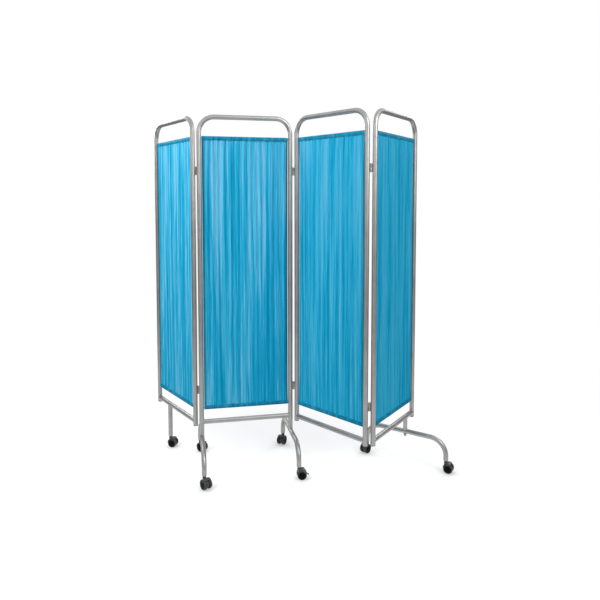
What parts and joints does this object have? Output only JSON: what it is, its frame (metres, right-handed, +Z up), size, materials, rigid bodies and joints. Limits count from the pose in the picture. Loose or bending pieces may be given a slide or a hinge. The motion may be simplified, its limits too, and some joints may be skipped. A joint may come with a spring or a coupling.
{
  "type": "ward privacy screen",
  "caption": "Folding ward privacy screen: hinged bent-tube panels with gathered cloth curtains, standing on bowed feet with twin-wheel swivel casters.",
  "frame": {"origin": "on the floor, under the middle of the footprint as the screen stands part folded", "axes": "+Z up; +X along the second panel from its left post to its right post; +Y to the rear"},
  "size_m": [1.5168, 0.9018, 1.85],
  "materials": {
    "frame_tube": "satin polished stainless steel",
    "hinge_steel": "duller turned steel",
    "curtain_rod": "plain drawn steel rod",
    "curtain_cloth": "thin sky-blue woven polyester, gathered",
    "post_plug": "grey moulded plastic",
    "caster_wheel": "black moulded nylon",
    "caster_housing": "dark grey moulded nylon"
  },
  "bodies": {
    "panel_2": {"panel_2_frame": "frame_tube", "panel_2_bottom_rail": "frame_tube", "panel_2_curtain_rod_top": "curtain_rod", "panel_2_curtain_rod_bottom": "curtain_rod", "panel_2_curtain": "curtain_cloth", "panel_2_left_foot_bow": "frame_tube", "panel_2_right_foot_bow": "frame_tube", "hinge_1_2_upper_pin_half": "hinge_steel", "hinge_1_2_lower_pin_half": "hinge_steel", "hinge_2_3_upper_pin_half": "hinge_steel", "hinge_2_3_lower_pin_half": "hinge_steel"},
    "panel_1": {"panel_1_frame": "frame_tube", "panel_1_bottom_rail": "frame_tube", "panel_1_curtain_rod_top": "curtain_rod", "panel_1_curtain_rod_bottom": "curtain_rod", "panel_1_curtain": "curtain_cloth", "panel_1_left_end_plug": "post_plug", "panel_1_right_end_plug": "post_plug", "panel_1_leg": "frame_tube", "hinge_1_2_upper_socket_half": "hinge_steel", "hinge_1_2_lower_socket_half": "hinge_steel"},
    "panel_3": {"panel_3_frame": "frame_tube", "panel_3_bottom_rail": "frame_tube", "panel_3_curtain_rod_top": "curtain_rod", "panel_3_curtain_rod_bottom": "curtain_rod", "panel_3_curtain": "curtain_cloth", "panel_3_left_end_plug": "post_plug", "panel_3_right_end_plug": "post_plug", "hinge_2_3_upper_socket_half": "hinge_steel", "hinge_2_3_lower_socket_half": "hinge_steel", "hinge_3_4_upper_pin_half": "hinge_steel", "hinge_3_4_lower_pin_half": "hinge_steel"},
    "panel_4": {"panel_4_frame": "frame_tube", "panel_4_bottom_rail": "frame_tube", "panel_4_curtain_rod_top": "curtain_rod", "panel_4_curtain_rod_bottom": "curtain_rod", "panel_4_curtain": "curtain_cloth", "panel_4_left_end_plug": "post_plug", "panel_4_right_end_plug": "post_plug", "panel_4_foot_bow": "frame_tube", "panel_4_bow_stub": "frame_tube", "panel_4_bow_bolt": "hinge_steel", "hinge_3_4_upper_socket_half": "hinge_steel", "hinge_3_4_lower_socket_half": "hinge_steel"},
    "caster_1_swivel": {"caster_1_hood": "caster_housing"},
    "caster_1_wheel_pair": {"caster_1_wheels": "caster_wheel"},
    "caster_2_swivel": {"caster_2_hood": "caster_housing"},
    "caster_2_wheel_pair": {"caster_2_wheels": "caster_wheel"},
    "caster_3_swivel": {"caster_3_hood": "caster_housing"},
    "caster_3_wheel_pair": {"caster_3_wheels": "caster_wheel"},
    "caster_4_swivel": {"caster_4_hood": "caster_housing"},
    "caster_4_wheel_pair": {"caster_4_wheels": "caster_wheel"},
    "caster_5_swivel": {"caster_5_hood": "caster_housing"},
    "caster_5_wheel_pair": {"caster_5_wheels": "caster_wheel"},
    "caster_6_swivel": {"caster_6_hood": "caster_housing"},
    "caster_6_wheel_pair": {"caster_6_wheels": "caster_wheel"},
    "caster_7_swivel": {"caster_7_hood": "caster_housing"},
    "caster_7_wheel_pair": {"caster_7_wheels": "caster_wheel"},
    "caster_5_brake": {"caster_5_brake_pedal": "caster_housing"}
  },
  "joints": [
    {"name": "fold_1_2", "type": "hinge", "parent": "panel_2", "child": "panel_1", "pos_m": [-0.53577, -0.00271, 0.416], "axis": [0, 0, -1], "range_deg": [-66, 113]},
    {"name": "fold_2_3", "type": "hinge", "parent": "panel_2", "child": "panel_3", "pos_m": [-0.03377, -0.02971, 0.416], "axis": [0, 0, -1], "range_deg": [-57, 122]},
    {"name": "fold_3_4", "type": "hinge", "parent": "panel_3", "child": "panel_4", "pos_m": [0.25873, -0.43859, 0.416], "axis": [0, 0, 1], "range_deg": [-102, 50]},
    {"name": "caster_1_swivel", "type": "hinge", "parent": "panel_1", "child": "caster_1_swivel", "pos_m": [-0.68687, 0.30495, 0.062], "axis": [0, 0, 1], "continuous": true},
    {"name": "caster_1_roll", "type": "hinge", "parent": "caster_1_swivel", "child": "caster_1_wheel_pair", "pos_m": [-0.67318, 0.29882, 0.02452], "axis": [0.4083, 0.9128, 0], "continuous": true},
    {"name": "caster_2_swivel", "type": "hinge", "parent": "panel_2", "child": "caster_2_swivel", "pos_m": [-0.52226, 0.21179, 0.062], "axis": [0, 0, 1], "continuous": true},
    {"name": "caster_2_roll", "type": "hinge", "parent": "caster_2_swivel", "child": "caster_2_wheel_pair", "pos_m": [-0.51184, 0.201, 0.02452], "axis": [0.7193, 0.6947, 0], "continuous": true},
    {"name": "caster_3_swivel", "type": "hinge", "parent": "panel_2", "child": "caster_3_swivel", "pos_m": [-0.52226, -0.24421, 0.062], "axis": [0, 0, 1], "continuous": true},
    {"name": "caster_3_roll", "type": "hinge", "parent": "caster_3_swivel", "child": "caster_3_wheel_pair", "pos_m": [-0.51432, -0.25694, 0.02452], "axis": [0.848, 0.5299, 0], "continuous": true},
    {"name": "caster_4_swivel", "type": "hinge", "parent": "panel_2", "child": "caster_4_swivel", "pos_m": [-0.04727, 0.21179, 0.062], "axis": [0, 0, 1], "continuous": true},
    {"name": "caster_4_roll", "type": "hinge", "parent": "caster_4_swivel", "child": "caster_4_wheel_pair", "pos_m": [-0.0565, 0.19997, 0.02452], "axis": [0.788, -0.6157, 0], "continuous": true},
    {"name": "caster_5_swivel", "type": "hinge", "parent": "panel_2", "child": "caster_5_swivel", "pos_m": [-0.04727, -0.24421, 0.062], "axis": [0, 0, 1], "continuous": true},
    {"name": "caster_5_roll", "type": "hinge", "parent": "caster_5_swivel", "child": "caster_5_wheel_pair", "pos_m": [-0.03245, -0.24656, 0.02452], "axis": [0.1564, 0.9877, 0], "continuous": true},
    {"name": "caster_6_swivel", "type": "hinge", "parent": "panel_4", "child": "caster_6_swivel", "pos_m": [0.39547, -0.00348, 0.062], "axis": [0, 0, 1], "continuous": true},
    {"name": "caster_6_roll", "type": "hinge", "parent": "caster_6_swivel", "child": "caster_6_wheel_pair", "pos_m": [0.38255, -0.0111, 0.02452], "axis": [0.5075, -0.8616, 0], "continuous": true},
    {"name": "caster_7_swivel", "type": "hinge", "parent": "panel_4", "child": "caster_7_swivel", "pos_m": [0.71508, -0.32872, 0.062], "axis": [0, 0, 1], "continuous": true},
    {"name": "caster_7_roll", "type": "hinge", "parent": "caster_7_swivel", "child": "caster_7_wheel_pair", "pos_m": [0.72649, -0.33847, 0.02452], "axis": [0.6494, 0.7604, 0], "continuous": true},
    {"name": "caster_5_brake", "type": "hinge", "parent": "caster_5_swivel", "child": "caster_5_brake", "pos_m": [-0.01546, -0.24925, 0.03657], "axis": [0.1564, 0.9877, 0], "range_deg": [0, 12]}
  ]
}
